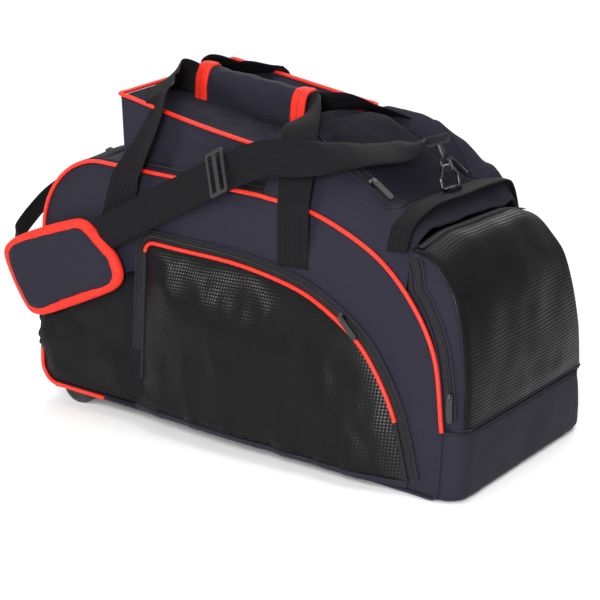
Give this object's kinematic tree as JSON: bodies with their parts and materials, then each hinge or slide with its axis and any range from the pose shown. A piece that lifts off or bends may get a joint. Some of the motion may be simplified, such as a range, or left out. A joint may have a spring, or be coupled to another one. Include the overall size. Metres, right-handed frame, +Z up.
{
  "type": "hockey equipment bag",
  "caption": "Wheeled ice hockey duffel with a raised helmet box, domed lid, arched side pockets, boxy end pocket, joined carry handles and a padded shoulder strap.",
  "frame": {"origin": "on the floor below the middle of the bag's bounding box", "axes": "+X towards the end pocket, away from the wheels; -Y towards the front side with the strap pad; +Z up"},
  "size_m": [0.7828, 0.4168, 0.5123],
  "materials": {
    "polyester": "matt charcoal polyester weave",
    "carbon_vinyl": "glossy coated fabric embossed with a carbon weave",
    "red_piping": "semi-gloss red-orange piping",
    "zip_tape": "black coil zip",
    "webbing": "woven polypropylene webbing",
    "padding": "padded polyester with red binding",
    "black_plastic": "moulded black plastic",
    "tyre": "black polyurethane tread",
    "steel": "dark nickel plated steel",
    "zip_metal": "black painted zinc"
  },
  "bodies": {
    "bag": {"front_side_panel": "polyester", "rear_side_panel": "polyester", "wheel_end_panel": "polyester", "deck_panel": "polyester", "end_divider": "polyester", "base_panel": "polyester", "end_boot": "polyester", "dome_panel": "polyester", "helmet_box_walls": "polyester", "helmet_box_top": "polyester", "front_side_piping": "red_piping", "rear_side_piping": "red_piping", "helmet_box_piping": "red_piping", "base_board": "black_plastic", "lid_zip": "zip_tape", "haul_handle": "webbing", "front_carry_handle": "webbing", "rear_carry_handle": "webbing", "grip_wrap": "padding", "shoulder_strap": "webbing", "shoulder_strap_tail": "webbing", "shoulder_pad": "padding", "end_ring_tab": "webbing", "wheel_end_tab": "webbing", "wheel_end_ring": "steel", "wheel_end_snap_hook": "black_plastic", "strap_adjuster": "black_plastic", "front_wheel_housing": "black_plastic", "front_axle": "steel", "front_skid": "black_plastic", "front_pocket_base": "carbon_vinyl", "front_pocket_zip": "zip_tape", "rear_wheel_housing": "black_plastic", "rear_axle": "steel", "rear_skid": "black_plastic", "rear_pocket_base": "carbon_vinyl", "rear_pocket_zip": "zip_tape"},
    "main_lid": {"main_lid": "polyester"},
    "helmet_box_door": {"helmet_box_door": "polyester"},
    "end_pocket_cover": {"end_pocket_cover": "carbon_vinyl"},
    "end_ring": {"end_ring": "steel", "end_snap_hook": "black_plastic"},
    "front_wheel": {"front_wheel_hub": "black_plastic", "front_tyre": "tyre"},
    "front_pocket_flap": {"front_pocket_flap": "carbon_vinyl"},
    "front_pocket_slider": {"front_pocket_slider": "zip_metal"},
    "front_pocket_pull": {"front_pocket_pull": "zip_metal"},
    "front_lid_slider": {"front_lid_slider": "zip_metal"},
    "front_lid_pull": {"front_lid_pull": "zip_metal"},
    "front_end_slider": {"front_end_slider": "zip_metal"},
    "front_end_pull": {"front_end_pull": "zip_metal"},
    "rear_wheel": {"rear_wheel_hub": "black_plastic", "rear_tyre": "tyre"},
    "rear_pocket_flap": {"rear_pocket_flap": "carbon_vinyl"},
    "rear_pocket_slider": {"rear_pocket_slider": "zip_metal"},
    "rear_pocket_pull": {"rear_pocket_pull": "zip_metal"},
    "rear_lid_slider": {"rear_lid_slider": "zip_metal"},
    "rear_lid_pull": {"rear_lid_pull": "zip_metal"},
    "rear_end_slider": {"rear_end_slider": "zip_metal"},
    "rear_end_pull": {"rear_end_pull": "zip_metal"}
  },
  "joints": [
    {"name": "front_wheel_spin", "type": "hinge", "parent": "bag", "child": "front_wheel", "pos_m": [-0.275, -0.146, 0.032], "axis": [0, 1, 0], "continuous": true},
    {"name": "rear_wheel_spin", "type": "hinge", "parent": "bag", "child": "rear_wheel", "pos_m": [-0.275, 0.146, 0.032], "axis": [0, 1, 0], "continuous": true},
    {"name": "main_lid_hinge", "type": "hinge", "parent": "bag", "child": "main_lid", "pos_m": [0.253, 0, 0.354], "axis": [0, 1, 0], "range_deg": [0, 90], "deforming": ["shoulder_strap"]},
    {"name": "end_ring_swing", "type": "hinge", "parent": "bag", "child": "end_ring", "pos_m": [0.2655, 0, 0.362], "axis": [0, 1, 0], "range_deg": [0, 90]},
    {"name": "helmet_box_door_hinge", "type": "hinge", "parent": "bag", "child": "helmet_box_door", "pos_m": [-0.192, 0, 0.3705], "axis": [0, -1, 0], "range_deg": [0, 90]},
    {"name": "end_pocket_hinge", "type": "hinge", "parent": "bag", "child": "end_pocket_cover", "pos_m": [0.388, 0, 0.093], "axis": [0, 1, 0], "range_deg": [0, 90]},
    {"name": "front_pocket_flap_hinge", "type": "hinge", "parent": "bag", "child": "front_pocket_flap", "pos_m": [0.0895, -0.20669, 0.02764], "axis": [0.9992, -0.0034, -0.039], "range_deg": [0, 70]},
    {"name": "front_pocket_slider_travel", "type": "hinge", "parent": "bag", "child": "front_pocket_slider", "pos_m": [0.0356, -0.18174, -0.043], "axis": [0, -0.9962, 0.0867], "range_deg": [-10, 10]},
    {"name": "front_pocket_pull_swing", "type": "hinge", "parent": "front_pocket_slider", "child": "front_pocket_pull", "pos_m": [0.203, -0.16849, 0.21364], "axis": [-0.6933, -0.0625, -0.718], "range_deg": [0, 150]},
    {"name": "front_lid_slider_travel", "type": "slide", "parent": "bag", "child": "front_lid_slider", "axis": [0.8099, 0.0025, -0.5865], "range_m": [-0.01, 0.01]},
    {"name": "front_lid_pull_swing", "type": "hinge", "parent": "front_lid_slider", "child": "front_lid_pull", "pos_m": [0.20892, -0.09918, 0.38201], "axis": [-0.2505, -0.9027, -0.3498], "range_deg": [0, 150]},
    {"name": "front_end_slider_travel", "type": "slide", "parent": "end_pocket_cover", "child": "front_end_slider", "axis": [0.0597, -0.0865, -0.9945], "range_m": [-0.06, 0]},
    {"name": "front_end_pull_swing", "type": "hinge", "parent": "front_end_slider", "child": "front_end_pull", "pos_m": [0.366, -0.16844, 0.14064], "axis": [-0.9982, -0.0052, -0.0594], "range_deg": [0, 150]},
    {"name": "rear_pocket_flap_hinge", "type": "hinge", "parent": "bag", "child": "rear_pocket_flap", "pos_m": [0.0895, 0.20669, 0.02764], "axis": [-0.9992, -0.0034, 0.039], "range_deg": [0, 70]},
    {"name": "rear_pocket_slider_travel", "type": "hinge", "parent": "bag", "child": "rear_pocket_slider", "pos_m": [0.0356, 0.18174, -0.043], "axis": [0, 0.9962, 0.0867], "range_deg": [-10, 10]},
    {"name": "rear_pocket_pull_swing", "type": "hinge", "parent": "rear_pocket_slider", "child": "rear_pocket_pull", "pos_m": [0.203, 0.16849, 0.21364], "axis": [0.6933, -0.0625, 0.718], "range_deg": [0, 150]},
    {"name": "rear_lid_slider_travel", "type": "slide", "parent": "bag", "child": "rear_lid_slider", "axis": [0.8099, -0.0025, -0.5865], "range_m": [-0.01, 0.01]},
    {"name": "rear_lid_pull_swing", "type": "hinge", "parent": "rear_lid_slider", "child": "rear_lid_pull", "pos_m": [0.20892, 0.09918, 0.38201], "axis": [0.2505, -0.9027, 0.3498], "range_deg": [0, 150]},
    {"name": "rear_end_slider_travel", "type": "slide", "parent": "end_pocket_cover", "child": "rear_end_slider", "axis": [0.0597, 0.0865, -0.9945], "range_m": [-0.06, 0]},
    {"name": "rear_end_pull_swing", "type": "hinge", "parent": "rear_end_slider", "child": "rear_end_pull", "pos_m": [0.366, 0.16844, 0.14064], "axis": [0.9982, -0.0052, 0.0594], "range_deg": [0, 150]}
  ],
  "couplings": [
    {"joint": "end_ring_swing", "follows": "main_lid_hinge", "ratio": 1}
  ]
}
